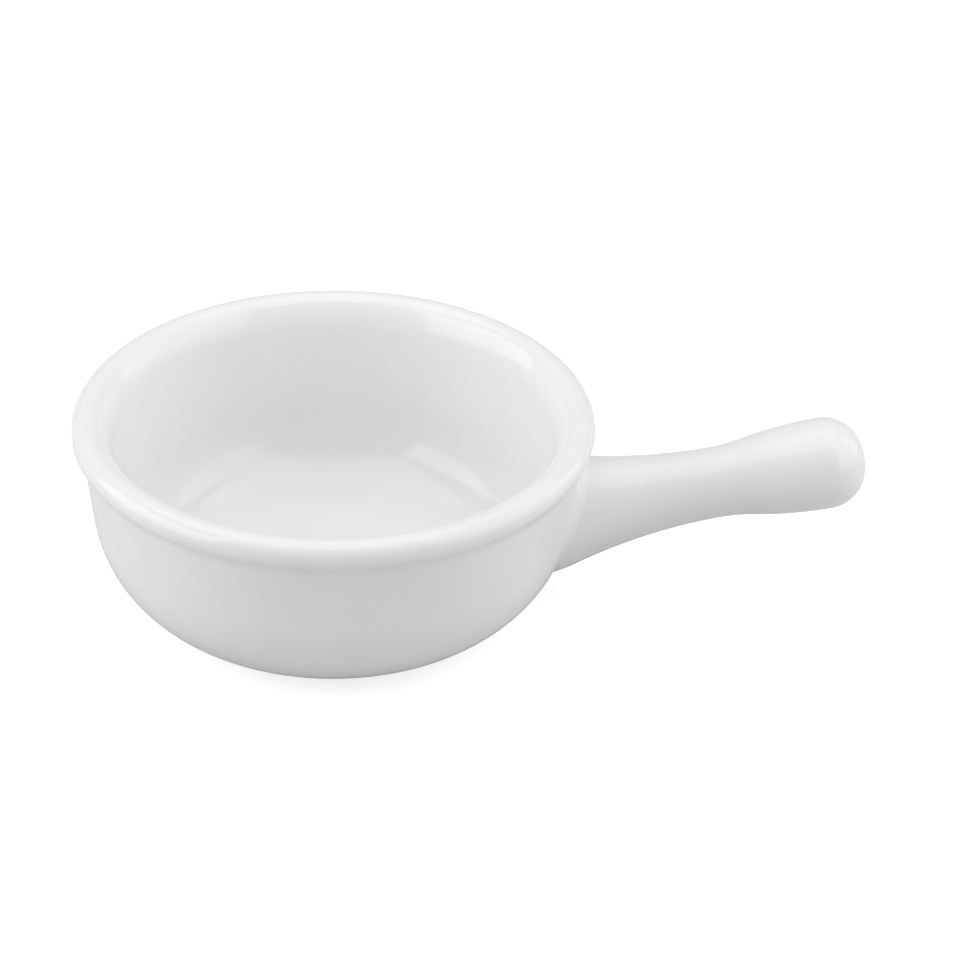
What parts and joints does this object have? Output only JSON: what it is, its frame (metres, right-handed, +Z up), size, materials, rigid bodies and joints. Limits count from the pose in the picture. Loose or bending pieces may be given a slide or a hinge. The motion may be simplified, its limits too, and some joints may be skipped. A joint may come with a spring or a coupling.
{
  "type": "soup crock",
  "caption": "Round glazed onion soup crock with rounded sides, a rolled rim, a foot ring and a rising stick handle with a club end, for baking and serving soup.",
  "frame": {"origin": "centre of the foot ring's standing face, on the bowl's axis", "axes": "+Z up along the bowl's axis, +X along the handle, away from the bowl"},
  "size_m": [0.1945, 0.127, 0.053],
  "materials": {
    "glaze": "white gloss glaze, with a bare foot ring",
    "slip": "fired slip under the same white gloss glaze"
  },
  "bodies": {
    "root": {"bowl": "glaze", "handle": "glaze", "handle_slip": "slip"}
  },
  "joints": []
}
